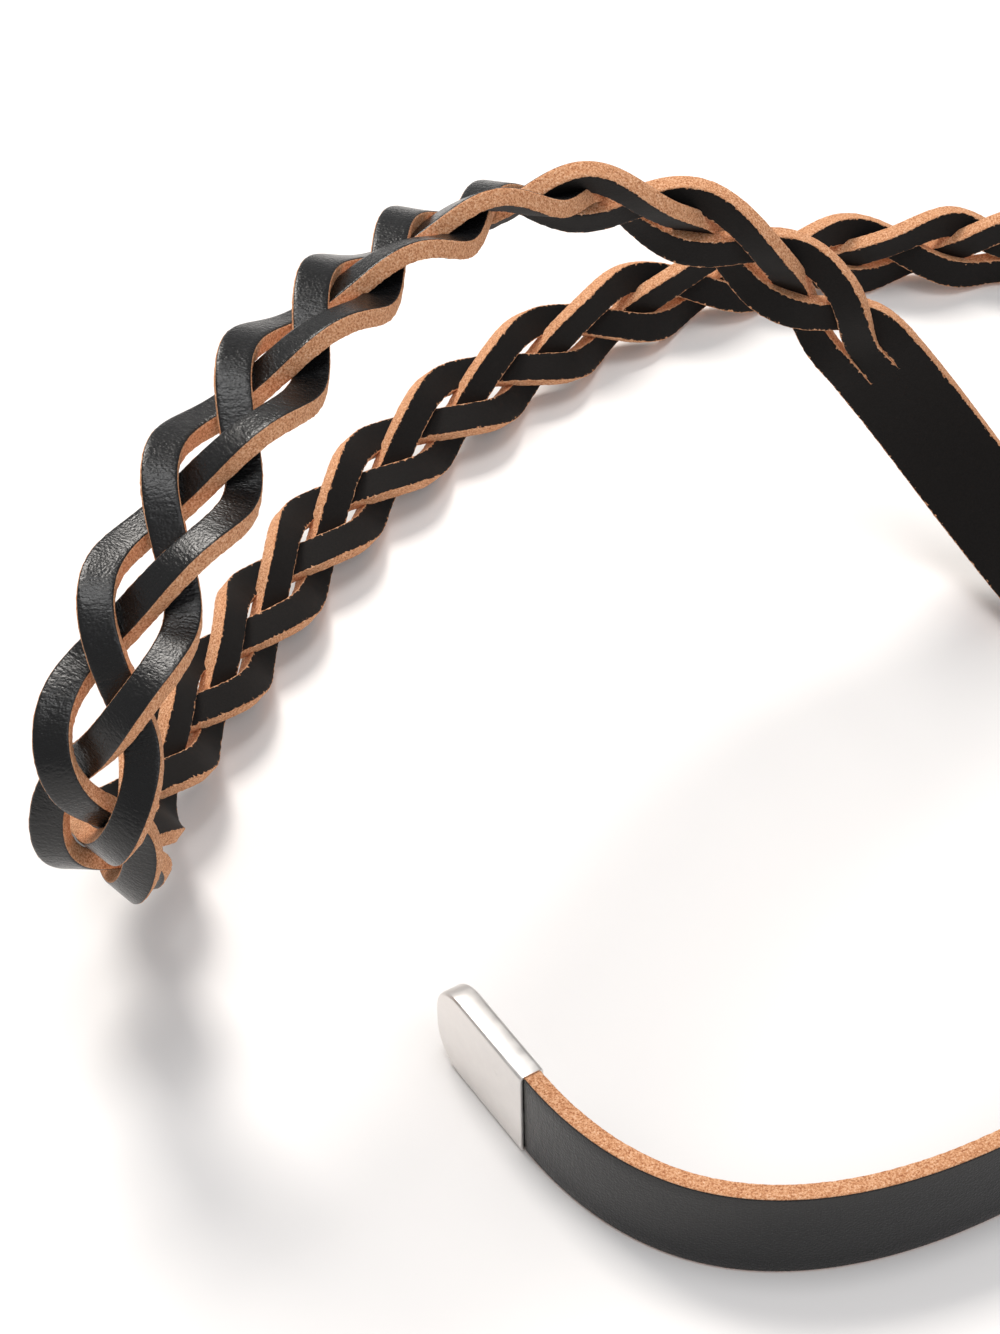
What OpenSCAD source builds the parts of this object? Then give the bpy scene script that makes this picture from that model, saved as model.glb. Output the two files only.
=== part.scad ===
// Braided leather belt, lying in a loose loop on a table.
// One strap is slit into three strands between its plain ends and braided,
// so the ends stay whole. The free end has a metal tip, the other end a
// prong buckle that turns on a bar held in the folded strap.
// Lengths along the belt run from the mouth of the metal tip to the buckle.

/* [Strap] */
// Width of the strap
strap_w = 20; // [19.5:0.25:20.5]
// Thickness of the leather
strap_t = 3.5; // [3.2:0.1:3.6]

/* [Braid] */
// Length along the belt from one bump on an edge to the next on that edge
pitch = 25.6; // [25:0.1:26]
// Width of one braided strand
strand_w = 6.5; // [6:0.1:6.6]
// How far a strand's centre swings to each side
swing = 6.4; // [6:0.1:6.6]
// How far a strand's centre moves above and below the braid's middle
lift = 2.6; // [2.3:0.1:2.8]
// How far a strand banks where it crosses the middle, in degrees
bank = 20; // [10:1:25]
// How much wider the braid spreads where it is bent most, as a share
slack = 0.3; // [0:0.02:0.3]

/* [Tip] */
// Length of the metal tip
cap_len = 29; // [26:0.5:31]
// Thickness of the metal tip
cap_t = 5; // [4.8:0.1:5.6]
// Wall of the metal tip
cap_wall = 0.7; // [0.6:0.05:0.8]
// How far the strap reaches into the metal tip
cap_pocket = 19; // [16:0.5:19]

/* [Buckle] */
// Height of the buckle frame across the strap
frame_w = 30; // [29:0.5:32]
// Length of the buckle frame ahead of its bar
frame_len = 25; // [24:0.5:28]
// Thickness of the buckle frame
frame_t = 3.2; // [3:0.1:3.4]
// Width of the buckle frame's rim
rim_w = 4; // [3.5:0.1:4.2]
// Radius of the bar
bar_r = 1.5; // [1.4:0.05:1.6]
// Thickness of the prong
prong_t = 2.4; // [2.2:0.1:2.6]

/* [Keeper] */
// Width of the keeper along the belt
keeper_w = 8; // [7:0.5:8.5]
// Thickness of the keeper's leather
keeper_t = 2; // [1.8:0.1:2.2]
// Room in the keeper for the free end
keeper_room = 4.4; // [4.3:0.1:5]

/* [Screws] */
// Radius of the screw heads
head_r = 4; // [3.5:0.1:4]
// Thickness of the screw heads
head_t = 1.2; // [1:0.1:1.4]
// Radius of the screw posts
post_r = 2.4; // [2.2:0.1:2.5]

/* [Hidden] */
$fn = 64;

leather_black = "#1b1b1d";
steel = "#cfcfd2";

hw = strap_w / 2;

// The belt's route: points that pull a smooth curve along the middle of the
// strap, each with the direction across the strap at that point.
// The strap stands on the table, climbs into an arch over the far side,
// curls down at the left and runs back along the table to the buckle.
route = [
    [-103,  -70, hw, 0, 0, 1],
    [ -84, -121, hw, 0, 0, 1],
    [ -54, -147, hw, 0, 0, 1],
    [ -17, -143, hw, 0, 0, 1],
    [  17, -122, hw, 0, 0, 1],
    [  47,  -96, hw, 0, 0, 1],
    [  56,  -60, hw, 0, 0, 1],
    [  42,  -22, 10.3, 0.1, 0.1, 1],
    [  27,   15, 10.2, 0.5, 0.2, 0.8],
    [   8,   45, 18, 0.8, 0.2, 0.6],
    [ -13,   45, 52, 0.8, 0, 0.6],
    [ -39,   43, 83, 0.65, -0.2, 0.7],
    [ -74,   39, 100, 0.65, -0.4, 0.62],
    [-102,   11, 110, 0.8, -0.42, 0.22],
    [-124,  -28, 115, 0.86, -0.4, 0.05],
    [-143,  -66, 103, 0.9, -0.38, -0.02],
    [-153,  -90, 87, 0.92, -0.34, -0.02],
    [-157,  -98, 68, 0.95, -0.26, -0.15],
    [-158,  -91, 47, 0.95, -0.2, -0.3],
    [-158,  -77, 31, 0.9, -0.2, -0.45],
    [-158,  -58, 20, 0.75, -0.25, -0.6],
    [-156,  -34, 13.5, 0.65, -0.25, -0.7],
    [-146,   -6, 9.8, 0.65, -0.3, -0.65],
    [-135,   26, 8.9, 0.7, -0.35, -0.55],
    [-118,   60, 9.5, 0.65, -0.45, -0.6],
    [ -92,   92, 10.2, 0.5, -0.45, -0.7],
    [ -61,  120, hw, 0.2, -0.2, -1],
    [ -26,  135, hw, 0, 0, -1],
    [  12,  140, hw, 0, 0, -1],
    [  50,  137, 12, 0, 0, -1],
    [  75,  137, 15, 0, 0, -1],
    [ 100,  137, 15, 0, 0, -1],
    [ 125,  137, 15, 0, 0, -1],
    [ 150,  137, 15, 0, 0, -1],
    [ 175,  137, 15, 0, 0, -1]
];
spans = len(route) - 3;

// Uniform cubic B-spline through the route's control points, and its slope
function spline(u) =
    let (k = min(floor(u), spans - 1), f = u - k, g = 1 - f)
    (g*g*g * route[k] + (3*f*f*f - 6*f*f + 4) * route[k + 1]
     + (3*g*g*g - 6*g*g + 4) * route[k + 2] + f*f*f * route[k + 3]) / 6;
function first3(v) = [v[0], v[1], v[2]];
function last3(v) = [v[3], v[4], v[5]];
function unit(v) = v / norm(v);

// Length along the curve against the curve's own parameter
steps = spans * 12;
track = [for (i = [0:steps]) first3(spline(i * spans / steps))];
function hop(i) = i < steps ? norm(track[i + 1] - track[i]) : 0;
lengths = [for (i = 0, s = 0; i <= steps; s = s + hop(i), i = i + 1) s];
by_length = [for (i = [0:steps]) [lengths[i], i * spans / steps]];
function at(s) = spline(lookup(s, by_length));

// Frame at a length along the belt: point, direction along, across, grain side
function belt(s) =
    let (a = at(s), t = unit(first3(at(s + 0.5)) - first3(at(s - 0.5))),
         w0 = last3(a), w = unit(w0 - (w0 * t) * t))
    [first3(a), t, w, cross(t, w)];

// Where the pieces begin and end along the belt
mouth_s = 1;
free_len = 334;
upright_len = 200;
strap_step = 4;
braid_from = mouth_s + free_len;
braid_turns = 24.5;
braid_to = braid_from + braid_turns * pitch;
buckle_strap_len = 66;
fold_s = braid_to + buckle_strap_len;

// A closed solid from rings of four points, listed in order along the piece
module tube4(rings) {
    n = len(rings);
    polyhedron(
        points = [for (r = rings) each r],
        faces = concat(
            [[0, 1, 2], [0, 2, 3]],
            [for (i = [0:n - 2], j = [0:3])
             let (a = 4*i + j, b = 4*i + (j + 1) % 4)
             each [[a, a + 4, b + 4], [a, b + 4, b]]],
            [[4*n - 4, 4*n - 2, 4*n - 3], [4*n - 4, 4*n - 1, 4*n - 2]]));
}

// Ring of a flat strip: centre, half-width vector, half-thickness vector
function strip_ring(c, a, b) = [c - a - b, c + a - b, c + a + b, c - a + b];

// Plain strap between two lengths along the belt
module plain_strap(from, to) {
    n = ceil((to - from) / strap_step);
    tube4([for (i = [0:n]) let (f = belt(from + (to - from) * i / n))
           strip_ring(f[0], f[2] * strap_w / 2, f[3] * strap_t / 2)]);
}

// A strand's place in the braid at v bumps from the slit's start.
// first is the bump at which the strand first reaches the upper edge.
function ease(x) = let (c = min(max(x, 0), 1)) c*c*(3 - 2*c);
// How far the strand has left the plain strap: 0 at a slit's end, 1 in the braid
opening_bumps = 0.9;
function woven(v) = ease(v / opening_bumps) * ease((braid_turns - v) / opening_bumps);
// How far the braid spreads: it loosens over the arch and its foot
loose_from = 5;
loose_to = 13;
loose_ease = 3;
function spread(v) = 1 + slack * ease((v - loose_from) / loose_ease)
                               * ease((loose_to - v) / loose_ease);
function across(v, first, rest) =
    let (k = woven(v)) (1 - k) * rest + k * spread(v) * swing * cos(120 * (v - first));
function height(v, first) = woven(v) * spread(v) * lift * sin(240 * (v - first));
function tilt(v, first) = woven(v) * bank * sin(120 * (v - first));
function strand_point(v, first, rest) =
    let (f = belt(braid_from + v * pitch))
    f[0] + across(v, first, rest) * f[2] + height(v, first) * f[3];
// Ring of a strand, square to its own direction
slope_step = 0.04;
function strand_ring(v, first, rest) =
    let (f = belt(braid_from + v * pitch),
         v0 = max(v - slope_step, 0), v1 = min(v + slope_step, braid_turns),
         k = woven(v),
         t = k > 0 ? unit(strand_point(v1, first, rest) - strand_point(v0, first, rest)) : f[1],
         b = tilt(v, first), w0 = cos(b) * f[2] + sin(b) * f[3],
         w = unit(w0 - (w0 * t) * t), n = cross(t, w),
         width = (1 - k) * strap_w / 3 + k * strand_w)
    strip_ring(strand_point(v, first, rest), w * width / 2, n * strap_t / 2);
rings_per_bump = 8;
module strand(first, rest) {
    n = braid_turns * rings_per_bump;
    tube4([for (i = [0:n]) strand_ring(i / rings_per_bump, first, rest)]);
}

// The upper, middle and lower third of the strap, in their order at the slit
module strand_a() color(leather_black) strand(0, strap_w / 3);
module strand_b() color(leather_black) strand(1, 0);
module strand_c() color(leather_black) strand(2, -strap_w / 3);

// The upright part of the free end, cut from the sheet as one curved outline
upright_cuts = 50;
module tip_strap() color(leather_black) {
    side = [for (i = [0:upright_cuts]) belt(mouth_s + upright_len * i / upright_cuts)];
    grain_side = [for (f = side) f[0] + f[3] * strap_t / 2];
    flesh_side = [for (i = [upright_cuts:-1:0]) side[i][0] - side[i][3] * strap_t / 2];
    linear_extrude(strap_w)
        polygon([for (p = concat(grain_side, flesh_side)) [p[0], p[1]]]);
    at_tip() tip_tongue();
}

// Plain strap from the upright part to the first slit's end
module arch_strap() color(leather_black) plain_strap(mouth_s + upright_len, braid_from);
// Plain strap from the last slit's end to the fold
module buckle_strap() color(leather_black) plain_strap(braid_to, fold_s);

// Frame of the metal tip: +X from the mouth to the free end, +Z across the
// strap, with the strap's middle at y = 0
module at_tip() {
    f = belt(mouth_s);
    translate([f[0][0], f[0][1], 0]) rotate([0, 0, atan2(-f[1][1], -f[1][0])]) children();
}
// The strap's end, trimmed to go into the metal tip
pocket_gap = 0.05;
tongue_root = 0.4;
module tip_tongue() {
    trim = cap_wall + pocket_gap;
    translate([-tongue_root, -strap_t / 2, trim])
        cube([cap_pocket + tongue_root, strap_t, strap_w - 2 * trim]);
}
// Side view of the metal tip, with its free end's corners rounded
module cap_outline() {
    end_r = strap_w * 0.4;
    straight_x = cap_len - end_r;
    square([straight_x, strap_w]);
    translate([0, end_r]) square([cap_len, strap_w - 2 * end_r]);
    translate([straight_x, end_r]) circle(end_r);
    translate([straight_x, strap_w - end_r]) circle(end_r);
}
// Metal tip with its pocket for the strap and a hole for each rivet
module tip_cap() color(steel) at_tip() difference() {
    rotate([90, 0, 0]) translate([0, 0, -cap_t / 2]) linear_extrude(cap_t) cap_outline();
    translate([-1, -strap_t / 2 - pocket_gap, cap_wall])
        cube([cap_pocket + 1.2, strap_t + 2 * pocket_gap, strap_w - 2 * cap_wall]);
    for (z = [rivet_low, rivet_high])
        translate([rivet_x, 0, z]) rotate([-90, 0, 0]) cylinder(r = rivet_r, h = cap_t);
}
rivet_r = 0.8;
rivet_x = 8;
rivet_low = strap_w * 0.3;
rivet_high = strap_w * 0.7;
rivet_depth = 0.2;
// Rivet through one wall of the metal tip into the strap
module rivet(z) color(steel) at_tip()
    translate([rivet_x, rivet_depth, z]) rotate([-90, 0, 0])
        cylinder(r = rivet_r, h = cap_t / 2 - rivet_depth);
module tip_rivet_low() rivet(rivet_low);
module tip_rivet_high() rivet(rivet_high);

// Frame of the buckle: +X from the strap out through the buckle, +Y towards
// the grain side, +Z up, with the bar's axis through the origin
fold_len = 45;
fold_clear = 0.3;
fold_r = bar_r + fold_clear;
outer_y = fold_r + strap_t;
skived_t = 2.4;
inner_y = fold_r - skived_t;
module at_buckle() {
    f = belt(fold_s);
    translate([f[0][0], f[0][1], frame_w / 2]) rotate([0, 0, atan2(f[1][1], f[1][0])])
        translate([fold_len, -(fold_r + strap_t / 2), 0]) children();
}

// Strap end folded round the bar, thinned where it lies back on itself,
// with a slot for the prong and a hole for each screw
slot_w = 6.4;
slot_from = -11.5;
skive_from = -11;
skive_to = -13;
front_x = -16;
rear_x = -37;
hole_gap = 0.05;
module fold_outline() {
    translate([-fold_len, fold_r]) square([fold_len, strap_t]);
    difference() {
        circle(outer_y);
        circle(fold_r);
        translate([-2 * outer_y, -2 * outer_y]) square([2 * outer_y, 4 * outer_y]);
    }
    polygon([[0, -fold_r], [skive_from, fold_r], [-fold_len, fold_r],
             [-fold_len, inner_y], [skive_to, inner_y], [0, -outer_y]]);
}
module buckle_fold() color(leather_black) at_buckle() difference() {
    translate([0, 0, -strap_w / 2]) linear_extrude(strap_w) fold_outline();
    translate([slot_from, -outer_y - 1, -slot_w / 2])
        cube([outer_y - slot_from + 1, 2 * outer_y + 2, slot_w]);
    for (x = [front_x, rear_x]) translate([x, inner_y - 1, 0]) rotate([-90, 0, 0])
        cylinder(r = post_r + hole_gap, h = outer_y - inner_y + 2);
}

// Open frame of the buckle: two rails with ears for the bar, and a front rim
ear_r = 4;
corner_r = 7;
window_r = 3.5;
seat_depth = 0.8;
seat_gap = 0.4;
module rounded_end(x0, x1, h, r) {
    translate([x0, -h / 2]) square([x1 - x0 - r, h]);
    translate([x0, -h / 2 + r]) square([x1 - x0, h - 2 * r]);
    for (y = [-1, 1]) translate([x1 - r, y * (h / 2 - r)]) circle(r);
}
module frame_outline() difference() {
    rounded_end(0, frame_len, frame_w, corner_r);
    translate([-1, 0]) rounded_end(0, frame_len - rim_w + 1, frame_w - 2 * rim_w, window_r);
}
module buckle_frame() color(steel) at_buckle() difference() {
    union() {
        rotate([90, 0, 0]) translate([0, 0, -frame_t / 2])
            linear_extrude(frame_t) frame_outline();
        for (z = [-frame_w / 2, frame_w / 2 - rim_w])
            translate([0, 0, z]) cylinder(r = ear_r, h = rim_w);
    }
    translate([0, 0, -frame_w]) cylinder(r = bar_r, h = 2 * frame_w);
    // seat for the prong in the front rim
    translate([frame_len - rim_w - 1, frame_t / 2 - seat_depth, -prong_w / 2 - seat_gap])
        cube([rim_w + 2, seat_depth + 1, prong_w + 2 * seat_gap]);
}

// Bar held by the frame's two ears
module buckle_bar() color(steel) at_buckle()
    translate([0, 0, -frame_w / 2]) cylinder(r = bar_r, h = frame_w);

// Prong with an eye round the bar, tapered to its tip on the front rim
eye_clear = 0.08;
eye_r = 3.3;
prong_w = 4.4;
rest_gap = 0.1;
prong_y = frame_t / 2 - seat_depth + rest_gap;
module prong_outline() polygon([
    [0, prong_y], [0, eye_r], [4, prong_y + prong_t],
    [frame_len - 1, prong_y + prong_t * 0.7],
    [frame_len + 1, prong_y + prong_t * 0.35], [frame_len + 1, prong_y]]);
module prong() color(steel) at_buckle() difference() {
    translate([0, 0, -prong_w / 2]) {
        cylinder(r = eye_r, h = prong_w);
        linear_extrude(prong_w) prong_outline();
    }
    translate([0, 0, -prong_w]) cylinder(r = bar_r + eye_clear, h = 2 * prong_w);
}

// Leather loop that slides on the fold between the two screws
keeper_x = (front_x + rear_x) / 2;
keeper_gap = 0.3;
keeper_low = inner_y - keeper_gap;
keeper_high = outer_y + keeper_gap + keeper_room;
keeper_half = strap_w / 2 + keeper_gap;
module keeper_loop() color(leather_black) at_buckle() difference() {
    translate([keeper_x - keeper_w / 2, keeper_low - keeper_t, -keeper_half - keeper_t])
        cube([keeper_w, keeper_high - keeper_low + 2 * keeper_t, 2 * (keeper_half + keeper_t)]);
    translate([keeper_x - keeper_w, keeper_low, -keeper_half])
        cube([2 * keeper_w, keeper_high - keeper_low, 2 * keeper_half]);
    staple_wire();
}
// Wire across the keeper's joint, with its two legs in the leather
staple_r = 0.45;
staple_span = 5;
module staple_wire() {
    y = keeper_low - keeper_t;
    translate([keeper_x, y, -staple_span / 2 - staple_r])
        cylinder(r = staple_r, h = staple_span + 2 * staple_r);
    for (z = [-staple_span / 2, staple_span / 2]) translate([keeper_x, y, z])
        rotate([-90, 0, 0]) cylinder(r = staple_r, h = keeper_t * 0.75);
}
module keeper_staple() color(steel) at_buckle() staple_wire();

// Screws through the fold, each a hollow post with a head on the grain side
// and a threaded cap with a driver slot on the other side
thread_r = 1.4;
grip = outer_y - inner_y;
module at_screw(x) at_buckle() translate([x, inner_y, 0]) rotate([-90, 0, 0]) children();
module screw_post(x) color(steel) at_screw(x) difference() {
    union() {
        cylinder(r = post_r, h = grip);
        translate([0, 0, grip]) cylinder(r = head_r, h = head_t);
    }
    translate([0, 0, -1]) cylinder(r = thread_r + hole_gap, h = grip - 0.5);
}
module screw_cap(x) color(steel) at_screw(x) difference() {
    union() {
        translate([0, 0, -head_t]) cylinder(r = head_r, h = head_t);
        cylinder(r = thread_r, h = grip - 2.5);
    }
    translate([-head_r - 1, -0.5, -head_t - 1]) cube([2 * head_r + 2, 1, 1.5]);
}
module screw_post_front() screw_post(front_x);
module screw_post_rear() screw_post(rear_x);
module screw_cap_front() screw_cap(front_x);
module screw_cap_rear() screw_cap(rear_x);

tip_cap();
tip_rivet_low();
tip_rivet_high();
tip_strap();
arch_strap();
strand_a();
strand_b();
strand_c();
buckle_strap();
buckle_fold();
buckle_frame();
buckle_bar();
prong();
keeper_loop();
keeper_staple();
screw_post_front();
screw_post_rear();
screw_cap_front();
screw_cap_rear();
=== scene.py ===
"""Looks of a braided leather belt: one strap slit in three between its plain
ends and braided, with a metal tip on one end and a prong buckle on the other.
"""

import logging
import math
from dataclasses import dataclass, field
from enum import Enum
from typing import Any, Callable, Sequence

import bmesh
import bpy
from mathutils import Euler, Matrix, Vector, noise


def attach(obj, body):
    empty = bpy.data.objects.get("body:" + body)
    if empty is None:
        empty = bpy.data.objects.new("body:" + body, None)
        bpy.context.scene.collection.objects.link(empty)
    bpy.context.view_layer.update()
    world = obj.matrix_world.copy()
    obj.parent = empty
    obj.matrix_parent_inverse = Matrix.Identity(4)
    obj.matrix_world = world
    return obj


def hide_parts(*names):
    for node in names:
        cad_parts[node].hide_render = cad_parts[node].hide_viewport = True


LOG = logging.getLogger("belt")
MM = 0.001

# Points closer than this are in one place, and edges that turn by more than
# this angle are sharp
TOUCH = 0.001 * MM
SHARP = math.radians(40)

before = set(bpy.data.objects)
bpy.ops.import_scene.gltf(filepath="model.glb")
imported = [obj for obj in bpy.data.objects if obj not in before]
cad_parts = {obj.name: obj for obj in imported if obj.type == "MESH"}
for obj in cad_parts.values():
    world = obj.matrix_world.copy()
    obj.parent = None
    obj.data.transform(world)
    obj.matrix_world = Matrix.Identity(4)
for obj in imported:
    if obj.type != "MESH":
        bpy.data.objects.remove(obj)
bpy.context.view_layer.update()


# Small tools


def linear(hex_colour: str) -> tuple[float, float, float, float]:
    """Turns an sRGB hex colour into a linear one.

    Args:
        hex_colour: Colour as "#rrggbb".

    Returns:
        Linear red, green and blue, and an alpha of 1.
    """
    parts = [int(hex_colour[i : i + 2], 16) / 255 for i in (1, 3, 5)]
    red, green, blue = (
        c / 12.92 if c <= 0.04045 else ((c + 0.055) / 1.055) ** 2.4 for c in parts
    )
    return red, green, blue, 1.0


def per_size(size_mm: float) -> float:
    """Gives a noise scale whose features are about size_mm across."""
    return 1 / (size_mm * MM)


def add(
    tree: bpy.types.NodeTree, kind: str, inputs: dict | None = None, **settings: Any
) -> bpy.types.Node:
    """Adds a shader node with its settings, and sets or links its inputs.

    Args:
        tree: Node tree that gets the node.
        kind: Node type, without the "ShaderNode" in front.
        inputs: Input name or number to a value, or to an output to link.
        settings: Properties of the node.

    Returns:
        The new node.
    """
    made = tree.nodes.new("ShaderNode" + kind)
    for name, value in settings.items():
        setattr(made, name, value)
    for key, value in (inputs or {}).items():
        if isinstance(value, bpy.types.NodeSocket):
            tree.links.new(value, made.inputs[key])
        else:
            made.inputs[key].default_value = value
    return made


def new_material(name: str) -> tuple[bpy.types.Material, bpy.types.NodeTree]:
    """Makes an empty node material and returns it with its tree."""
    material = bpy.data.materials.new(name)
    material.use_nodes = True
    material.node_tree.nodes.clear()
    return material, material.node_tree


def finish_mesh(
    bm: bmesh.types.BMesh, name: str, material: bpy.types.Material, crease_deg: float
) -> bpy.types.Object:
    """Closes a bmesh into an object with smooth faces and sharp creases.

    Args:
        bm: The shape, in metres, in its place. It is freed.
        name: Name of the object.
        material: Its finish.
        crease_deg: Edges that turn by more than this stay sharp.

    Returns:
        The object, linked to the scene.
    """
    for face in bm.faces:
        face.smooth = True
    for edge in bm.edges:
        edge.smooth = edge.calc_face_angle(0.0) < math.radians(crease_deg)
    mesh = bpy.data.meshes.new(name)
    bm.to_mesh(mesh)
    bm.free()
    mesh.materials.append(material)
    piece = bpy.data.objects.new(name, mesh)
    bpy.context.scene.collection.objects.link(piece)
    LOG.info("%s: %d vertices", name, len(mesh.vertices))
    return piece


def round_edges(
    bm: bmesh.types.BMesh,
    edges: list[bmesh.types.BMEdge],
    offset: float,
    segments: int,
    clamp_overlap: bool = False,
) -> None:
    """Rounds the given edges of a bmesh.

    Args:
        bm: The shape.
        edges: Its edges to round.
        offset: How far the rounding reaches, in metres.
        segments: Number of faces across it.
        clamp_overlap: Whether roundings stop where they would meet.
    """
    bmesh.ops.bevel(
        bm,
        geom=edges,
        offset=offset,
        segments=segments,
        profile=0.5,
        affect="EDGES",
        clamp_overlap=clamp_overlap,
        material=-1,
    )


def declare(piece: bpy.types.Object, body: str, slot: str, *nodes: str) -> None:
    """Hangs a piece on the body it rides on and hides the nodes it stands for; its slot
    is not used.
    """
    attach(piece, body)
    if nodes:
        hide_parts(*nodes)


def facing(spot: Sequence[float], aim: Sequence[float]) -> Euler:
    """Gives the turn of a lamp or a camera at spot that looks at aim."""
    return (Vector(aim) - Vector(spot)).to_track_quat("-Z", "Y").to_euler()


def smoothstep(x: float) -> float:
    """Eases from 0 to 1, clamped outside."""
    c = min(max(x, 0.0), 1.0)
    return c * c * (3 - 2 * c)


# Finishes

# Faces round a leather strip's girth, and from the middle of the flesh side to
# the line where its nap spills over, to the flesh corner, to both ends of the
# cut edge and to the flat of the grain side
GIRTH = 32
HALF_GIRTH = GIRTH // 2
SPILL_LINE = 2
FLESH_CORNER = 3
EDGE_START = 5
EDGE_END = 9
GRAIN_FLAT = 12

# Where the colours change, in faces from the middle of the grain side: the
# dyed grain ends over one stretch, and the dyed nap starts over another one
GRAIN_DYE_END = (5.3, 5.65)
NAP_DYE_START = (14.3, 14.6)


@dataclass(frozen=True)
class BridleLeather:
    """Vegetable-tanned belt leather, dyed black through both faces and cut raw.

    The grain side is smooth and waxed, so it shines softly over fine pores.
    The cut edges show the undyed tan fibre, and the flesh side is matt.
    """

    name: str = "vegetable_tanned_leather"
    grain: str = "#0b0b0c"
    grain_worn: str = "#131314"
    flesh: str = "#100f0e"
    flesh_nap: str = "#242120"
    fibre_dark: str = "#96593a"
    fibre: str = "#d69b70"
    fibre_light: str = "#f4ceae"
    pore_mm: float = 0.45
    crease_mm: float = 0.55
    crease_across_mm: float = 2.2
    girth_mm: float = 20.0
    fibre_mm: float = 0.38
    speck_mm: float = 0.7
    cloud_mm: float = 9.0
    ragged_mm: float = 0.8
    ragged_faces: float = 3.4
    # Heights of the relief in tenths of a millimetre
    pore_height: float = 0.8
    crease_height: float = 0.35
    nap_height: float = 0.9
    fibre_height: float = 2.2
    # Roughness of the polished and worn grain, of the nap and of the cut fibre
    waxed: float = 0.21
    worn: float = 0.34
    matt_nap: float = 0.72
    matt_fibre: float = 0.88
    dull_gloss: float = 0.22
    follows_girth: bool = True
    edge_axis: str = "Z"

    def zones(self, tree: bpy.types.NodeTree, where: bpy.types.NodeSocket) -> tuple:
        """Finds the cut edges and the flesh side.

        Args:
            tree: The material's tree.
            where: Object coordinates.

        Returns:
            Outputs that are 1 on the cut edges and on the flesh side.
        """
        if not self.follows_girth:
            normal = add(tree, "NewGeometry").outputs["Normal"]
            axis = add(tree, "SeparateXYZ", {0: normal}).outputs[self.edge_axis]
            steep = add(tree, "Math", {0: axis}, operation="ABSOLUTE").outputs[0]
            edge = add(tree, "MapRange", {0: steep, 1: 0.55, 2: 0.75}).outputs[0]
            side = add(tree, "SeparateXYZ", {0: normal}).outputs["Y"]
            flesh = add(tree, "MapRange", {0: side, 1: -0.1, 2: -0.6}).outputs[0]
            return edge, flesh
        strip = add(tree, "UVMap", uv_map="Strip").outputs[0]
        turn = add(tree, "SeparateXYZ", {0: strip}).outputs["Y"]
        faces = add(
            tree, "Math", {0: turn, 1: GIRTH, 2: -HALF_GIRTH}, operation="MULTIPLY_ADD"
        )
        away = add(tree, "Math", {0: faces.outputs[0]}, operation="ABSOLUTE").outputs[0]
        rag = add(
            tree,
            "TexNoise",
            {"Vector": where, "Scale": per_size(self.ragged_mm), "Detail": 4.0},
        ).outputs[0]
        shifted = add(
            tree,
            "Math",
            {0: rag, 1: self.ragged_faces, 2: away},
            operation="MULTIPLY_ADD",
        ).outputs[0]
        start, end = GRAIN_DYE_END
        cut = add(tree, "MapRange", {0: away, 1: start, 2: end}).outputs[0]
        start, end = NAP_DYE_START
        flesh = add(tree, "MapRange", {0: shifted, 1: start, 2: end}).outputs[0]
        fibre_side = add(tree, "Math", {0: 1.0, 1: flesh}, operation="SUBTRACT")
        edge = add(
            tree, "Math", {0: cut, 1: fibre_side.outputs[0]}, operation="MULTIPLY"
        ).outputs[0]
        return edge, flesh

    def blend(
        self,
        tree: bpy.types.NodeTree,
        share: bpy.types.NodeSocket,
        low: Any,
        high: Any,
    ) -> bpy.types.NodeSocket:
        """Mixes two colours by a share and returns the mixed colour."""
        return add(
            tree, "Mix", {0: share, 6: low, 7: high}, data_type="RGBA"
        ).outputs[2]

    def creases(
        self, tree: bpy.types.NodeTree, where: bpy.types.NodeSocket
    ) -> bpy.types.NodeSocket:
        """Makes the fine creases, which run across a strip where it bends.

        Args:
            tree: The material's tree.
            where: Object coordinates, for a piece without a strip's own.

        Returns:
            The creases' height from 0 to 1.
        """
        settings = {"Scale": per_size(self.crease_mm), "Detail": 4.0, "Roughness": 0.6}
        if self.follows_girth:
            strip = add(tree, "UVMap", uv_map="Strip").outputs[0]
            girth = self.girth_mm * MM * self.crease_mm / self.crease_across_mm
            stretched = {"Vector": strip, "Scale": (1.0, girth, 1.0)}
            where = add(tree, "Mapping", stretched).outputs[0]
        return add(tree, "TexNoise", {"Vector": where, **settings}).outputs[0]

    def build(self) -> bpy.types.Material:
        """Builds the leather's material."""
        material, tree = new_material(self.name)
        where = add(tree, "TexCoord").outputs["Object"]
        edge, flesh = self.zones(tree, where)

        pores = add(
            tree,
            "TexVoronoi",
            {"Vector": where, "Scale": per_size(self.pore_mm), "Randomness": 1.0},
            feature="SMOOTH_F1",
        ).outputs["Distance"]
        creases = self.creases(tree, where)
        cloud = add(
            tree,
            "TexNoise",
            {"Vector": where, "Scale": per_size(self.cloud_mm), "Detail": 2.0},
        ).outputs[0]
        fibres = add(
            tree,
            "TexNoise",
            {
                "Vector": where,
                "Scale": per_size(self.fibre_mm),
                "Detail": 5.0,
                "Roughness": 0.7,
            },
        ).outputs[0]
        specks = add(
            tree,
            "TexVoronoi",
            {"Vector": where, "Scale": per_size(self.speck_mm), "Randomness": 1.0},
        ).outputs["Distance"]

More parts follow.
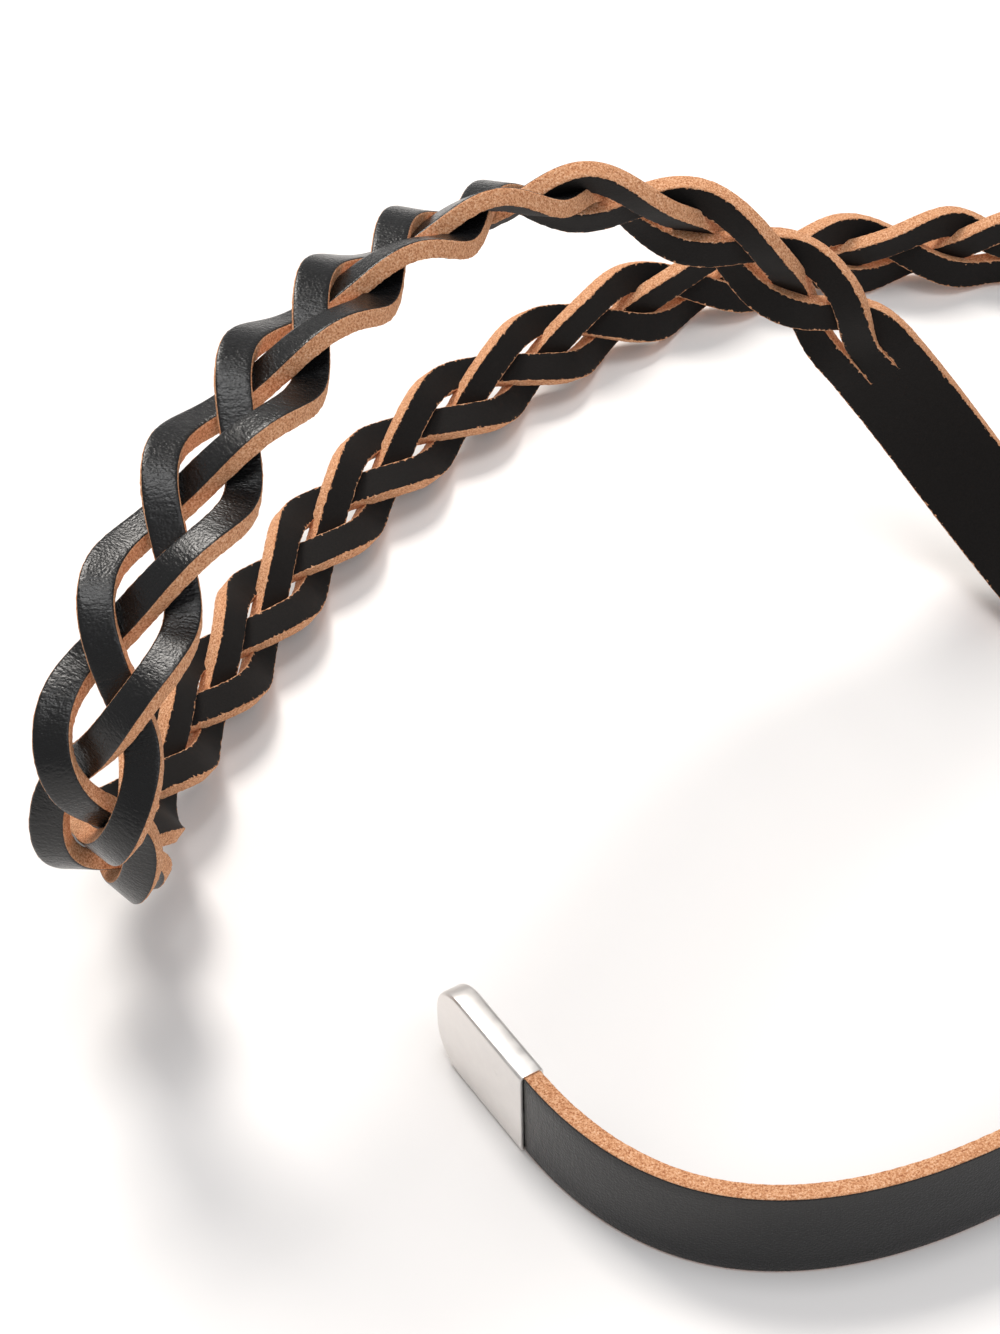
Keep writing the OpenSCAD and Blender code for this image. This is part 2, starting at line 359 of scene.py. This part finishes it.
        grain = self.blend(tree, cloud, linear(self.grain), linear(self.grain_worn))
        nap = self.blend(tree, fibres, linear(self.flesh), linear(self.flesh_nap))
        deep = add(tree, "MapRange", {0: fibres, 1: 0.34, 2: 0.52}).outputs[0]
        pale = add(tree, "MapRange", {0: fibres, 1: 0.5, 2: 0.72}).outputs[0]
        tan = self.blend(tree, deep, linear(self.fibre_dark), linear(self.fibre))
        tan = self.blend(tree, pale, tan, linear(self.fibre_light))
        dots = add(tree, "MapRange", {0: specks, 1: 0.16, 2: 0.05}).outputs[0]
        faint = add(tree, "Math", {0: dots, 1: 0.55}, operation="MULTIPLY").outputs[0]
        tan = self.blend(tree, faint, tan, linear(self.fibre_dark))
        faces = self.blend(tree, flesh, grain, nap)
        colour = self.blend(tree, edge, faces, tan)

        waxed = add(
            tree, "MapRange", {0: creases, 1: 0.3, 2: 0.7, 3: self.waxed, 4: self.worn}
        ).outputs[0]
        dry = add(tree, "Mix", {0: flesh, 2: waxed, 3: self.matt_nap}).outputs[0]
        rough = add(tree, "Mix", {0: edge, 2: dry, 3: self.matt_fibre}).outputs[0]

        grain_relief = add(
            tree, "Math", {0: pores, 1: self.pore_height}, operation="MULTIPLY"
        ).outputs[0]
        grain_relief = add(
            tree,
            "Math",
            {0: creases, 1: self.crease_height, 2: grain_relief},
            operation="MULTIPLY_ADD",
        ).outputs[0]
        nap_relief = add(
            tree, "Math", {0: fibres, 1: self.nap_height}, operation="MULTIPLY"
        ).outputs[0]
        fibre_relief = add(
            tree, "Math", {0: fibres, 1: self.fibre_height}, operation="MULTIPLY"
        ).outputs[0]
        relief = add(tree, "Mix", {0: flesh, 2: grain_relief, 3: nap_relief}).outputs[0]
        relief = add(tree, "Mix", {0: edge, 2: relief, 3: fibre_relief}).outputs[0]
        bump = add(
            tree, "Bump", {"Height": relief, "Distance": 0.1 * MM, "Strength": 0.8}
        ).outputs[0]

        # Loose fibre swallows most of the gloss that the waxed grain has
        raw = add(tree, "Math", {0: edge, 1: flesh}, operation="MAXIMUM").outputs[0]
        dull = (self.dull_gloss, self.dull_gloss, self.dull_gloss, 1.0)
        gloss = self.blend(tree, raw, (1.0, 1.0, 1.0, 1.0), dull)
        shader = add(
            tree,
            "BsdfPrincipled",
            {
                "Base Color": colour,
                "Roughness": rough,
                "Specular Tint": gloss,
                "Normal": bump,
                "IOR": 1.46,
            },
        )
        add(tree, "OutputMaterial", {"Surface": shader.outputs[0]})
        return material


@dataclass(frozen=True)
class CastMetal:
    """Nickel-plated zinc casting, barrel-finished.

    Tumbling leaves a soft satin with faint cloudiness and tiny pits.
    """

    name: str
    colour: str = "#f0edea"
    dull: str = "#dedad7"
    roughness: float = 0.42
    clearer: float = 0.06
    cloudier: float = 0.1
    cloud_mm: float = 3.0
    pit_mm: float = 0.3
    pit_depth: float = 0.04

    def build(self) -> bpy.types.Material:
        """Builds the metal's material."""
        material, tree = new_material(self.name)
        where = add(tree, "TexCoord").outputs["Object"]
        cloud = add(
            tree,
            "TexNoise",
            {"Vector": where, "Scale": per_size(self.cloud_mm), "Detail": 4.0},
        ).outputs[0]
        pits = add(
            tree,
            "TexNoise",
            {"Vector": where, "Scale": per_size(self.pit_mm), "Detail": 3.0},
        ).outputs[0]
        colour = add(
            tree,
            "Mix",
            {0: cloud, 6: linear(self.dull), 7: linear(self.colour)},
            data_type="RGBA",
        ).outputs[2]
        low, high = self.roughness - self.clearer, self.roughness + self.cloudier
        rough = add(
            tree, "MapRange", {0: cloud, 1: 0.3, 2: 0.7, 3: low, 4: high}
        ).outputs[0]
        bump = add(
            tree,
            "Bump",
            {"Height": pits, "Distance": 0.05 * MM, "Strength": self.pit_depth},
        ).outputs[0]
        shader = add(
            tree,
            "BsdfPrincipled",
            {"Base Color": colour, "Metallic": 1.0, "Roughness": rough, "Normal": bump},
        )
        add(tree, "OutputMaterial", {"Surface": shader.outputs[0]})
        return material


@dataclass(frozen=True)
class SeamlessPaper:
    """White background paper, matt with a faint tooth."""

    name: str = "seamless_paper"
    colour: str = "#f6f4f3"
    tooth_mm: float = 1.2

    def build(self) -> bpy.types.Material:
        """Builds the paper's material."""
        material, tree = new_material(self.name)
        where = add(tree, "TexCoord").outputs["Object"]
        tooth = add(
            tree, "TexNoise", {"Vector": where, "Scale": per_size(self.tooth_mm)}
        ).outputs[0]
        bump = add(
            tree, "Bump", {"Height": tooth, "Distance": 0.02 * MM, "Strength": 0.3}
        ).outputs[0]
        shader = add(
            tree,
            "BsdfPrincipled",
            {"Base Color": linear(self.colour), "Roughness": 0.9, "Normal": bump},
        )
        add(tree, "OutputMaterial", {"Surface": shader.outputs[0]})
        return material


# The belt's route, as in the part's source: points that pull a smooth curve
# along the middle of the strap, each with the direction across the strap

ROUTE = (
    (-0.103, -0.070, 0.01, 0, 0, 1),
    (-0.084, -0.121, 0.01, 0, 0, 1),
    (-0.054, -0.147, 0.01, 0, 0, 1),
    (-0.017, -0.143, 0.01, 0, 0, 1),
    (0.017, -0.122, 0.01, 0, 0, 1),
    (0.047, -0.096, 0.01, 0, 0, 1),
    (0.056, -0.060, 0.01, 0, 0, 1),
    (0.042, -0.022, 0.0103, 0.1, 0.1, 1),
    (0.027, 0.015, 0.0102, 0.5, 0.2, 0.8),
    (0.008, 0.045, 0.018, 0.8, 0.2, 0.6),
    (-0.013, 0.045, 0.052, 0.8, 0, 0.6),
    (-0.039, 0.043, 0.083, 0.65, -0.2, 0.7),
    (-0.074, 0.039, 0.1, 0.65, -0.4, 0.62),
    (-0.102, 0.011, 0.11, 0.8, -0.42, 0.22),
    (-0.124, -0.028, 0.115, 0.86, -0.4, 0.05),
    (-0.143, -0.066, 0.103, 0.9, -0.38, -0.02),
    (-0.153, -0.090, 0.087, 0.92, -0.34, -0.02),
    (-0.157, -0.098, 0.068, 0.95, -0.26, -0.15),
    (-0.158, -0.091, 0.047, 0.95, -0.2, -0.3),
    (-0.158, -0.077, 0.031, 0.9, -0.2, -0.45),
    (-0.158, -0.058, 0.02, 0.75, -0.25, -0.6),
    (-0.156, -0.034, 0.0135, 0.65, -0.25, -0.7),
    (-0.146, -0.006, 0.0098, 0.65, -0.3, -0.65),
    (-0.135, 0.026, 0.0089, 0.7, -0.35, -0.55),
    (-0.118, 0.060, 0.0095, 0.65, -0.45, -0.6),
    (-0.092, 0.092, 0.0102, 0.5, -0.45, -0.7),
    (-0.061, 0.120, 0.01, 0.2, -0.2, -1),
    (-0.026, 0.135, 0.01, 0, 0, -1),
    (0.012, 0.140, 0.01, 0, 0, -1),
    (0.050, 0.137, 0.012, 0, 0, -1),
    (0.075, 0.137, 0.015, 0, 0, -1),
    (0.100, 0.137, 0.015, 0, 0, -1),
    (0.125, 0.137, 0.015, 0, 0, -1),
    (0.150, 0.137, 0.015, 0, 0, -1),
    (0.175, 0.137, 0.015, 0, 0, -1),
)


@dataclass
class Place:
    """A place on the belt: its middle, and the directions along the belt,
    across the strap and out of the grain side."""

    middle: Vector
    along: Vector
    across: Vector
    grain: Vector


@dataclass
class Route:
    """The curve that the strap's middle follows, looked up by length."""

    rows: Sequence[Sequence[float]] = ROUTE
    cuts_per_span: int = 12
    nudge: float = 0.5 * MM
    spans: int = field(init=False)
    lengths: list[float] = field(init=False)

    def __post_init__(self) -> None:
        """Measures the curve's length."""
        self.spans = len(self.rows) - 3
        cuts = self.spans * self.cuts_per_span
        points = [self.spline(i / self.cuts_per_span)[0] for i in range(cuts + 1)]
        self.lengths = [0.0]
        for one, two in zip(points, points[1:]):
            self.lengths.append(self.lengths[-1] + (two - one).length)

    def spline(self, at: float) -> tuple[Vector, Vector]:
        """Gives the middle and the across direction at a curve parameter."""
        k = min(int(at), self.spans - 1)
        f = at - k
        g = 1 - f
        shares = (
            g**3 / 6,
            (3 * f**3 - 6 * f**2 + 4) / 6,
            (3 * g**3 - 6 * g**2 + 4) / 6,
            f**3 / 6,
        )
        row = [
            sum(shares[j] * self.rows[k + j][c] for j in range(4)) for c in range(6)
        ]
        return Vector(row[:3]), Vector(row[3:])

    def raw(self, s: float) -> tuple[Vector, Vector]:
        """Gives the middle and the across direction at a length in metres."""
        s = min(max(s, 0.0), self.lengths[-1])
        low, high = 0, len(self.lengths) - 1
        while high - low > 1:
            half = (low + high) // 2
            if self.lengths[half] <= s:
                low = half
            else:
                high = half
        part = (s - self.lengths[low]) / (self.lengths[high] - self.lengths[low])
        return self.spline((low + part) / self.cuts_per_span)

    def place(self, s: float) -> Place:
        """Gives the place at a length in metres along the belt."""
        middle, across = self.raw(s)
        ahead, behind = self.raw(s + self.nudge)[0], self.raw(s - self.nudge)[0]
        along = (ahead - behind).normalized()
        across = (across - across.dot(along) * along).normalized()
        return Place(middle, along, across, along.cross(across))


@dataclass
class Corner:
    """Corner radii of a strip's section, in metres."""

    grain: float = 0.55 * MM
    flesh: float = 0.22 * MM


@dataclass
class Section:
    """A strip's section at one station: its place, its size, the corners on
    its upper and lower edge, and how far the nap spills in from them."""

    place: Place
    width: float
    thickness: float
    upper: Corner
    lower: Corner
    rough: float = 1.0
    spill: float = 0.8 * MM

    def offset(self, turn: int) -> tuple[float, float]:
        """Gives a point of the section.

        Args:
            turn: Number of faces round the girth from the flesh side's middle.

        Returns:
            Offset across the strip and out of the grain side, in metres.
        """
        lower_half = turn <= HALF_GIRTH
        k = turn if lower_half else GIRTH - turn
        corner = self.lower if lower_half else self.upper
        w, h = self.width / 2, self.thickness / 2
        gr, fl = corner.grain, corner.flesh
        if k <= SPILL_LINE:
            x, y = (w - fl - self.spill) * k / SPILL_LINE, -h
        elif k <= EDGE_START:
            a = math.pi / 2 * (k - FLESH_CORNER) / (EDGE_START - FLESH_CORNER)
            x, y = w - fl + fl * math.sin(a), -h + fl - fl * math.cos(a)
        elif k <= EDGE_END:
            part = (k - EDGE_START) / (EDGE_END - EDGE_START)
            x, y = w, -h + fl + (2 * h - fl - gr) * part
        elif k <= GRAIN_FLAT:
            a = math.pi / 2 * (k - EDGE_END) / (GRAIN_FLAT - EDGE_END)
            x, y = w - gr + gr * math.cos(a), h - gr + gr * math.sin(a)
        else:
            x, y = (w - gr) * (HALF_GIRTH - k) / (HALF_GIRTH - GRAIN_FLAT), h
        return (-x if lower_half else x), y


@dataclass
class LeatherStrip:
    """A strip of leather swept through sections, with raw fibrous edges."""

    name: str
    start: float
    end: float
    section_at: Callable[[float], Section]
    step: float = 0.6 * MM
    fray: float = 0.09 * MM
    corner_fray: float = 1.5
    nap_fray: float = 0.35
    tuft: float = 0.8 * MM
    hair: float = 0.35 * MM
    crease_deg: float = 50

    def roughen(self, point: Vector, turn: int, rough: float) -> Vector:
        """Gives the fibre's small in and out on a cut edge.

        Args:
            point: The point on the clean section.
            turn: Number of faces round the girth.
            rough: Share of the full fray.

        Returns:
            The shift, in metres.
        """
        k = HALF_GIRTH - abs(turn - HALF_GIRTH)
        if k > EDGE_END + 1:
            return Vector()
        amount = self.fray * rough
        if k < FLESH_CORNER:
            amount *= self.nap_fray
        elif k <= EDGE_START:
            amount *= self.corner_fray
        tufts = noise.noise_vector(point / self.tuft)
        hairs = noise.noise_vector(point / self.hair)
        return (tufts + 0.5 * hairs) * amount

    def build(self, material: bpy.types.Material) -> bpy.types.Object:
        """Wraps a flat sheet of faces round the strip's sections.

        Args:
            material: The leather.

        Returns:
            The closed strip.
        """
        count = math.ceil((self.end - self.start) / self.step)
        bm = bmesh.new()
        uv = bm.loops.layers.uv.new("Strip")
        bmesh.ops.create_grid(
            bm, x_segments=count, y_segments=GIRTH, size=0.5, calc_uvs=True
        )
        sections = [
            self.section_at(self.start + (self.end - self.start) * i / count)
            for i in range(count + 1)
        ]
        first: dict[int, bmesh.types.BMVert] = {}
        last: dict[int, bmesh.types.BMVert] = {}
        for vert in bm.verts:
            i = round((vert.co.x + 0.5) * count)
            turn = round((vert.co.y + 0.5) * GIRTH)
            if turn == 0:
                first[i] = vert
            elif turn == GIRTH:
                last[i] = vert
            section = sections[i]
            x, y = section.offset(turn % GIRTH)
            place = section.place
            point = place.middle + x * place.across + y * place.grain
            vert.co = point + self.roughen(point, turn % GIRTH, section.rough)
        for face in bm.faces:
            for loop in face.loops:
                loop[uv].uv.x = self.start + loop[uv].uv.x * (self.end - self.start)
        bmesh.ops.weld_verts(bm, targetmap={last[i]: first[i] for i in last})
        rims = [edge for edge in bm.edges if edge.is_boundary]
        bmesh.ops.holes_fill(bm, edges=rims, sides=0)
        bmesh.ops.recalc_face_normals(bm, faces=bm.faces)
        return finish_mesh(bm, self.name, material, self.crease_deg)


class Third(Enum):
    """The strap's thirds, with the bump where each first reaches the upper
    edge and its place across the plain strap in thirds."""

    UPPER = ("strand_a", 0, 1)
    MIDDLE = ("strand_b", 1, 0)
    LOWER = ("strand_c", 2, -1)

    def __init__(self, node: str, first: int, row: int) -> None:
        """Names the values of a third."""
        self.node = node
        self.first = first
        self.row = row


@dataclass
class Strap:
    """The strap: its plain ends and its three braided strands."""

    route: Route
    width: float = 20 * MM
    thickness: float = 3.5 * MM
    mouth: float = 1 * MM
    slit_start: float = 335 * MM
    slit_end: float = 962.2 * MM
    fold_start: float = 1028.2 * MM
    bumps: float = 24.5
    strand_width: float = 6.5 * MM
    swing: float = 6.4 * MM
    lift: float = 2.6 * MM
    bank_deg: float = 20
    opening: float = 0.9
    slack: float = 0.3
    loose_from: float = 5
    loose_to: float = 13
    loose_ease: float = 3
    tongue: float = 17 * MM
    tongue_trim: float = 0.75 * MM
    plain_fray: float = 0.6
    slit_fray: float = 0.4
    square_bumps: float = 0.1
    least_corner: float = 0.01 * MM
    nudge_bumps: float = 0.04

    def plain(self, s: float) -> Section:
        """Gives the plain strap's section at a length along the belt."""
        place = self.route.place(max(s, self.mouth))
        width = self.width
        if s < self.mouth:
            place.middle = place.middle + (s - self.mouth) * place.along
            width -= 2 * self.tongue_trim
        return Section(place, width, self.thickness, Corner(), Corner(), self.plain_fray)

    def woven(self, v: float) -> float:
        """Gives how far a strand has left the plain strap, from 0 to 1."""
        return smoothstep(v / self.opening) * smoothstep(
            (self.bumps - v) / self.opening
        )

    def spread(self, v: float) -> float:
        """Gives how far the braid spreads: it loosens over the arch."""
        return 1 + self.slack * smoothstep((v - self.loose_from) / self.loose_ease) * (
            smoothstep((self.loose_to - v) / self.loose_ease)
        )

    def turn(self, third: Third, v: float) -> float:
        """Gives a strand's angle in the braid's swing, once round in 3 bumps."""
        return math.radians(120 * (v - third.first))

    def strand_middle(self, third: Third, v: float) -> tuple[Vector, Place]:
        """Gives a strand's middle at v bumps, and the strap's place there."""
        place = self.route.place(
            self.slit_start + v / self.bumps * (self.slit_end - self.slit_start)
        )
        k = self.woven(v)
        reach = k * self.spread(v)
        turn = self.turn(third, v)
        x = (1 - k) * third.row * self.width / 3 + reach * self.swing * math.cos(turn)
        y = reach * self.lift * math.sin(2 * turn)
        return place.middle + x * place.across + y * place.grain, place

    def strand(self, third: Third, s: float) -> Section:
        """Gives a strand's section at a length along the belt."""
        v = (s - self.slit_start) / (self.slit_end - self.slit_start) * self.bumps
        v = min(max(v, 0.0), self.bumps)
        k = self.woven(v)
        middle, place = self.strand_middle(third, v)
        before = self.strand_middle(third, max(v - self.nudge_bumps, 0.0))[0]
        after = self.strand_middle(third, min(v + self.nudge_bumps, self.bumps))[0]
        along = (after - before).normalized() if k > 0 else place.along
        bank = math.radians(k * self.bank_deg * math.sin(self.turn(third, v)))
        across = math.cos(bank) * place.across + math.sin(bank) * place.grain
        across = (across - across.dot(along) * along).normalized()
        here = Place(middle, along, across, along.cross(across))
        width = (1 - k) * self.width / 3 + k * self.strand_width
        # Edges that meet in a slit are square at its ends, so that it starts closed
        open_share = smoothstep(min(v, self.bumps - v) / self.square_bumps)
        shut = Corner(
            max(Corner().grain * open_share, self.least_corner),
            max(Corner().flesh * open_share, self.least_corner),
        )
        upper = Corner() if third is Third.UPPER else shut
        lower = Corner() if third is Third.LOWER else shut
        fray = self.slit_fray + (1 - self.slit_fray) * open_share
        return Section(here, width, self.thickness, upper, lower, fray)

    def build(self, leather: bpy.types.Material, flexed: bpy.types.Material) -> None:
        """Builds the plain straps, and the strands of creased leather."""
        front = LeatherStrip(
            "plain_strap_front", self.mouth - self.tongue, self.slit_start, self.plain
        ).build(leather)
        declare(front, "belt", "leather", "tip_strap", "arch_strap")
        for third in Third:
            strand = LeatherStrip(
                "braid_" + third.node,
                self.slit_start,
                self.slit_end,
                lambda s, third=third: self.strand(third, s),
            ).build(flexed)
            declare(strand, "belt", "leather", third.node)
        back = LeatherStrip(
            "plain_strap_back", self.slit_end, self.fold_start, self.plain
        ).build(leather)
        declare(back, "belt", "leather", "buckle_strap")


@dataclass
class TipCap:
    """The metal tip: a flat folded shell with a rounded end and a chamfer."""

    route: Route
    length: float = 29 * MM
    thickness: float = 5 * MM
    height: float = 20 * MM
    wall: float = 0.7 * MM
    pocket: float = 19 * MM
    end_radius: float = 8 * MM
    chamfer: float = 0.9 * MM
    lip: float = 0.18 * MM
    mouth: float = 1 * MM
    crease_deg: float = 28

    def frame(self) -> Matrix:
        """Gives the turn and place of the tip: +X to the free end, +Z up."""
        place = self.route.place(self.mouth)
        angle = math.atan2(-place.along.y, -place.along.x)
        spot = Vector((place.middle.x, place.middle.y, 0))
        return Matrix.Translation(spot) @ Matrix.Rotation(angle, 4, "Z")

    def build(self, metal: bpy.types.Material) -> None:
        """Builds the tip from a block: round end, chamfer, then the pocket."""
        bm = bmesh.new()
        bmesh.ops.create_cube(bm, size=1)
        bmesh.ops.scale(
            bm, vec=(self.length, self.thickness, self.height), verts=bm.verts
        )
        bmesh.ops.translate(
            bm, vec=(self.length / 2, 0, self.height / 2), verts=bm.verts
        )
        corners = [
            e
            for e in bm.edges
            if all(v.co.x > self.length - TOUCH for v in e.verts)
            and abs(e.verts[0].co.z - e.verts[1].co.z) < TOUCH
        ]
        round_edges(bm, corners, self.end_radius, 12)
        rims = [
            e
            for e in bm.edges
            if len(e.link_faces) == 2
            and sum(abs(f.normal.y) > 0.9 for f in e.link_faces) == 1
            and not all(v.co.x < TOUCH for v in e.verts)
        ]
        round_edges(bm, rims, self.chamfer, 3)
        bm.normal_update()
        mouth = [f for f in bm.faces if f.normal.x < -0.99]
        bmesh.ops.inset_region(bm, faces=mouth, thickness=self.wall, use_even_offset=True)
        inner = bmesh.ops.extrude_face_region(bm, geom=mouth)
        moved = [g for g in inner["geom"] if isinstance(g, bmesh.types.BMVert)]
        bmesh.ops.delete(bm, geom=mouth, context="FACES")
        bmesh.ops.translate(bm, vec=(self.pocket, 0, 0), verts=moved)
        lips = [
            e
            for e in bm.edges
            if all(v.co.x < TOUCH for v in e.verts) and e.calc_face_angle(0.0) > SHARP
        ]
        round_edges(bm, lips, self.lip, 2)
        bmesh.ops.recalc_face_normals(bm, faces=bm.faces)
        bmesh.ops.transform(bm, matrix=self.frame(), verts=bm.verts)
        tip = finish_mesh(bm, "tip_shell", metal, self.crease_deg)
        declare(tip, "belt", "tip_metal", "tip_cap")


@dataclass(frozen=True)
class Softened:
    """A machined or cut piece of the frame, with its corners broken."""

    node: str
    body: str
    slot: str
    corner: float
    segments: int = 3
    merge: float = 0.002 * MM
    flat_deg: float = 1.5
    crease_deg: float = 32

    def build(self, material: bpy.types.Material) -> None:
        """Copies the node, merges its faces and rounds its sharp edges."""
        bm = bmesh.new()
        bm.from_mesh(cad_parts[self.node].data)
        bmesh.ops.remove_doubles(bm, verts=bm.verts, dist=self.merge)
        flat = math.radians(self.flat_deg)
        bmesh.ops.dissolve_limit(bm, angle_limit=flat, verts=bm.verts, edges=bm.edges)
        sharp = [
            e
            for e in bm.edges
            if len(e.link_faces) == 2 and e.calc_face_angle(0.0) > SHARP
        ]
        round_edges(bm, sharp, self.corner, self.segments, clamp_overlap=True)
        bmesh.ops.triangulate(bm, faces=[f for f in bm.faces if len(f.verts) > 4])
        bmesh.ops.recalc_face_normals(bm, faces=bm.faces)
        piece = finish_mesh(bm, self.node + "_soft", material, self.crease_deg)
        declare(piece, self.body, self.slot, self.node)


@dataclass
class BuckleEnd:
    """The buckle, its prong, the fold that holds them, the keeper and screws."""

    metal_parts: tuple[Softened, ...] = (
        Softened("buckle_frame", "buckle", "buckle_metal", 0.9 * MM, 4),
        Softened("buckle_bar", "buckle", "buckle_metal", 0.25 * MM, 2),
        Softened("prong", "prong", "buckle_metal", 0.45 * MM, 3),
        Softened("keeper_staple", "keeper", "buckle_metal", 0.08 * MM, 2),
        Softened("screw_post_front", "belt", "buckle_metal", 0.3 * MM, 3),
        Softened("screw_post_rear", "belt", "buckle_metal", 0.3 * MM, 3),
        Softened("screw_cap_front", "belt", "buckle_metal", 0.22 * MM, 2),
        Softened("screw_cap_rear", "belt", "buckle_metal", 0.22 * MM, 2),
    )
    fold: Softened = Softened("buckle_fold", "belt", "leather", 0.3 * MM, 3)
    keeper: Softened = Softened("keeper_loop", "keeper", "leather", 0.4 * MM, 3)

    def build(self, metal: bpy.types.Material) -> None:
        """Builds the buckle end's metal and leather pieces."""
        for part in self.metal_parts:
            part.build(metal)
        leather = BridleLeather("vegetable_tanned_leather_fold", follows_girth=False)
        self.fold.build(leather.build())
        # The keeper is cut across the belt, so its raw edges face along it
        leather = BridleLeather(
            "vegetable_tanned_leather_keeper", follows_girth=False, edge_axis="X"
        )
        self.keeper.build(leather.build())


@dataclass(frozen=True)
class SoftLight:
    """A square soft light: where it hangs and what it points at, in metres,
    its side in metres, its power in watts and its colour."""

    name: str
    spot: tuple[float, float, float]
    aim: tuple[float, float, float]
    side: float
    power: float
    tint: str

    def build(self) -> None:
        """Hangs the light."""
        data = bpy.data.lights.new(self.name, "AREA")
        data.energy = self.power
        data.size = self.side
        data.color = linear(self.tint)[:3]
        lamp = bpy.data.objects.new(self.name, data)
        lamp.location = self.spot
        lamp.rotation_euler = facing(self.spot, self.aim)
        bpy.context.scene.collection.objects.link(lamp)


@dataclass
class Studio:
    """White paper on the table, soft lights and the camera."""

    eye: tuple[float, float, float] = (-0.071, -0.5319, 0.5052)
    aim: tuple[float, float, float] = (-0.071, 0.006, 0.0)
    lens: float = 97.3
    film: float = 36
    shift: tuple[float, float] = (-0.069, 0.006)
    far: float = 20
    paper_size: float = 2.5
    paper_drop: float = 0.1 * MM
    daylight: float = 0.4
    lights: tuple[SoftLight, ...] = (
        SoftLight("key", (-0.45, 0.55, 0.95), (-0.05, 0, 0.03), 0.4, 10.5, "#fffaf4"),
        SoftLight("fill", (0.5, -0.7, 0.9), (-0.05, 0, 0.03), 0.8, 3.0, "#fbfbff"),
        SoftLight("top", (-0.1, -0.05, 1.1), (-0.1, 0, 0), 0.4, 3.0, "#ffffff"),
    )

    def lay_paper(self) -> None:
        """Lays the paper just under the belt."""
        bm = bmesh.new()
        bmesh.ops.create_grid(bm, x_segments=4, y_segments=4, size=self.paper_size)
        bmesh.ops.translate(bm, vec=(0, 0, -self.paper_drop), verts=bm.verts)
        finish_mesh(bm, "paper_floor", SeamlessPaper().build(), 30)

    def set_daylight(self) -> None:
        """Fills the room with even white light."""
        world = bpy.data.worlds.new("studio")
        world.use_nodes = True
        background = world.node_tree.nodes["Background"]
        background.inputs["Color"].default_value = linear("#ffffff")
        background.inputs["Strength"].default_value = self.daylight
        bpy.context.scene.world = world

    def set_camera(self) -> None:
        """Sets up the camera that the picture is taken with."""
        data = bpy.data.cameras.new("camera")
        data.lens = self.lens
        data.sensor_width = self.film
        data.sensor_fit = "AUTO"
        data.shift_x, data.shift_y = self.shift
        data.clip_end = self.far
        camera = bpy.data.objects.new("camera", data)
        camera.location = self.eye
        camera.rotation_euler = facing(self.eye, self.aim)
        bpy.context.scene.collection.objects.link(camera)
        bpy.context.scene.camera = camera
        bpy.context.scene.view_settings.view_transform = "Standard"

    def build(self) -> None:
        """Builds the paper, the lights and the camera."""
        self.lay_paper()
        self.set_daylight()
        for light in self.lights:
            light.build()
        self.set_camera()


def main() -> None:
    """Builds the belt and the studio."""
    logging.basicConfig(level=logging.INFO, format="%(name)s: %(message)s")
    route = Route()
    # Belt leather, and the same leather creased by the braid's bends
    leather = BridleLeather().build()
    flexed_leather = BridleLeather(
        "vegetable_tanned_leather_flexed", crease_height=1.5
    ).build()
    # Nickel plate, satin on the tip and polished on the buckle
    tip_metal = CastMetal("satin_nickel_plate").build()
    buckle_metal = CastMetal(
        "polished_nickel_plate", roughness=0.2, pit_depth=0.06
    ).build()

    Strap(route).build(leather, flexed_leather)
    TipCap(route).build(tip_metal)
    for node in ("tip_rivet_low", "tip_rivet_high"):
        Softened(node, "belt", "tip_metal", 0.12 * MM, 2).build(tip_metal)
    BuckleEnd().build(buckle_metal)
    Studio().build()


if __name__ == "__main__":
    main()
